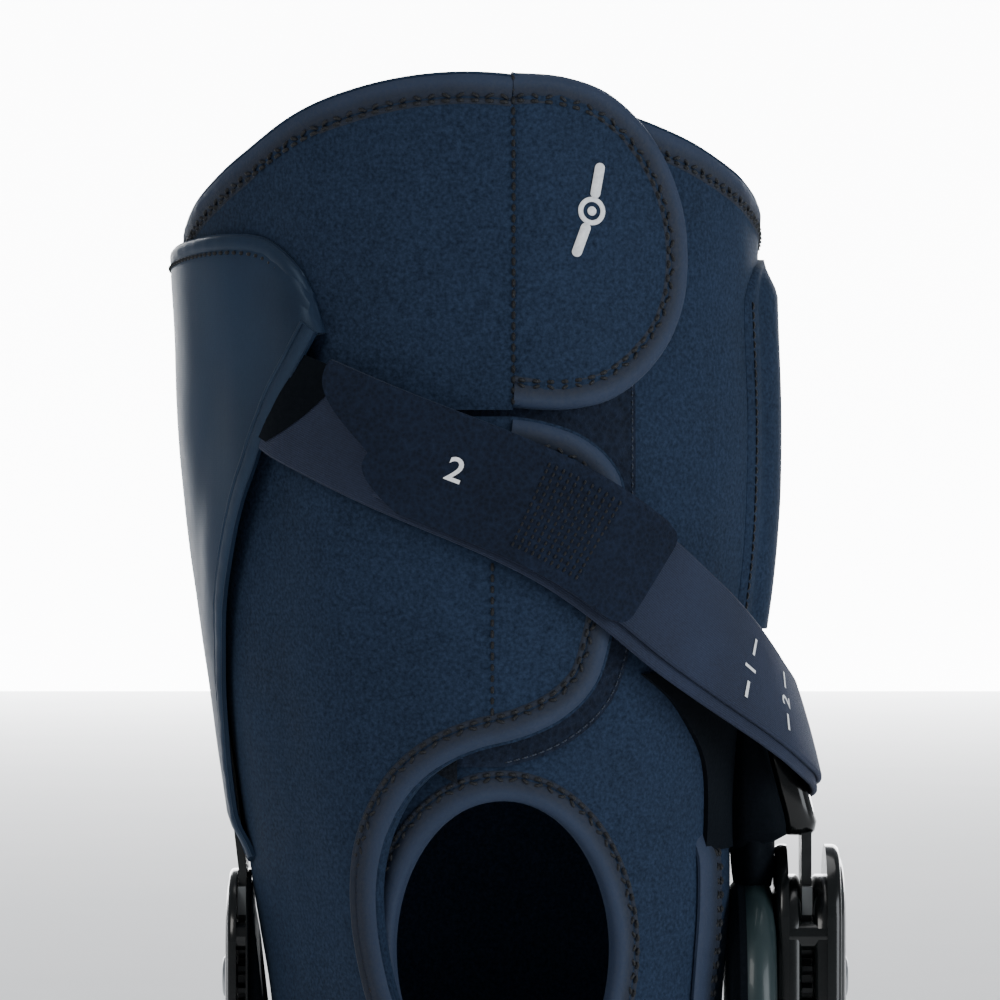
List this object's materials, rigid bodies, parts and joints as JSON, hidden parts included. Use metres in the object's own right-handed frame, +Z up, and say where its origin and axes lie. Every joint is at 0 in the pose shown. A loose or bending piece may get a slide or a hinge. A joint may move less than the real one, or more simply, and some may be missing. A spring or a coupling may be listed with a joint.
{
  "type": "hinged knee brace",
  "caption": "Wraparound knee brace with a neoprene sleeve, geared side hinges, front flaps and crossing straps, open over the kneecap.",
  "frame": {"origin": "centre of the knee, midway between the two gear pivots of each side hinge, on the hinge axes' plane", "axes": "+Z up the leg to the thigh end, -Y to the front, +X to the medial side of a right leg"},
  "size_m": [0.1679, 0.1564, 0.4151],
  "materials": {
    "neoprene": "knitted nylon face on 4 mm neoprene foam",
    "stretch_cover": "smooth stretch knit with a soft sheen",
    "stretch_panel": "open stretch knit",
    "edge_tape": "folded nylon edge tape with zigzag stitching",
    "loop_nap": "brushed loop pile",
    "hook": "hook tape",
    "webbing": "woven elastic webbing",
    "hook_tab": "hook tab with woven back",
    "hinge_shell": "glossy black nylon",
    "bar_metal": "black coated aluminium",
    "pin_metal": "steel rivet",
    "pad": "soft grey-green pad",
    "stop": "grey nylon"
  },
  "bodies": {
    "thigh": {"thigh_front_binding": "edge_tape", "thigh_front_hook": "hook", "thigh_front_panel": "neoprene", "thigh_lateral_bar": "bar_metal", "thigh_lateral_cover": "stretch_cover", "thigh_lateral_panel": "neoprene", "thigh_loop_patch": "loop_nap", "thigh_medial_bar": "bar_metal", "thigh_medial_panel": "neoprene", "thigh_medial_pocket": "neoprene", "thigh_rear_panel": "neoprene", "thigh_rim_binding": "edge_tape", "thigh_ring_rivets": "pin_metal", "thigh_strap_lower": "webbing", "thigh_strap_ring": "hinge_shell", "thigh_strap_tab_base": "hook_tab", "thigh_strap_upper": "webbing"},
    "medial_hinge": {"knee_lateral_web": "neoprene", "knee_medial_web": "neoprene", "medial_condyle_pad": "pad", "medial_extension_stop": "stop", "medial_inner_cover": "hinge_shell", "medial_outer_cover": "hinge_shell", "medial_pivot_pins": "pin_metal", "medial_spacers": "hinge_shell", "patella_binding": "edge_tape", "popliteal_panel": "stretch_panel"},
    "lateral_hinge": {"lateral_extension_stop": "stop", "lateral_inner_cover": "hinge_shell", "lateral_outer_cover": "hinge_shell", "lateral_pivot_pins": "pin_metal", "lateral_spacers": "hinge_shell"},
    "calf": {"calf_front_binding": "edge_tape", "calf_front_hook": "hook", "calf_front_panel": "neoprene", "calf_lateral_bar": "bar_metal", "calf_lateral_cover": "stretch_cover", "calf_lateral_panel": "neoprene", "calf_loop_patch": "loop_nap", "calf_medial_bar": "bar_metal", "calf_medial_panel": "neoprene", "calf_medial_pocket": "neoprene", "calf_rear_panel": "neoprene", "calf_rim_binding": "edge_tape", "calf_ring_rivets": "pin_metal", "calf_strap_lower": "webbing", "calf_strap_ring": "hinge_shell", "calf_strap_tab_base": "hook_tab", "calf_strap_upper": "webbing"},
    "thigh_flap": {"thigh_flap": "neoprene", "thigh_flap_hook": "hook", "thigh_flap_binding": "edge_tape"},
    "thigh_strap_tab": {"thigh_strap_tab": "hook_tab"},
    "calf_flap": {"calf_flap": "neoprene", "calf_flap_hook": "hook", "calf_flap_binding": "edge_tape"},
    "calf_strap_tab": {"calf_strap_tab": "hook_tab"}
  },
  "joints": [
    {"name": "medial_upper_pivot", "type": "hinge", "parent": "thigh", "child": "medial_hinge", "pos_m": [0.0788, 0, 0.011], "axis": [1, 0, 0], "range_deg": [0, 55], "deforming": ["popliteal_panel"]},
    {"name": "medial_lower_pivot", "type": "hinge", "parent": "medial_hinge", "child": "calf", "pos_m": [0.0788, 0, -0.011], "axis": [1, 0, 0], "range_deg": [0, 55]},
    {"name": "lateral_upper_pivot", "type": "hinge", "parent": "thigh", "child": "lateral_hinge", "pos_m": [-0.0616, 0, 0.011], "axis": [1, 0, 0], "range_deg": [0, 55]},
    {"name": "thigh_flap_peel", "type": "hinge", "parent": "thigh", "child": "thigh_flap", "pos_m": [0.0054, -0.0788, 0.19], "axis": [0, 0, -1], "range_deg": [0, 75]},
    {"name": "thigh_strap_tab_peel", "type": "hinge", "parent": "thigh", "child": "thigh_strap_tab", "pos_m": [0.00189, -0.08332, 0.13235], "axis": [0.3857, -0.008, 0.9226], "range_deg": [0, 60]},
    {"name": "calf_flap_peel", "type": "hinge", "parent": "calf", "child": "calf_flap", "pos_m": [0.0054, -0.0617, -0.155], "axis": [0, 0, -1], "range_deg": [0, 75]},
    {"name": "calf_strap_tab_peel", "type": "hinge", "parent": "calf", "child": "calf_strap_tab", "pos_m": [0.00439, -0.06829, -0.11155], "axis": [-0.3245, -0.0494, 0.9446], "range_deg": [0, 60]}
  ],
  "couplings": [
    {"joint": "medial_lower_pivot", "follows": "medial_upper_pivot", "ratio": 1},
    {"joint": "lateral_upper_pivot", "follows": "medial_upper_pivot", "ratio": 1}
  ]
}
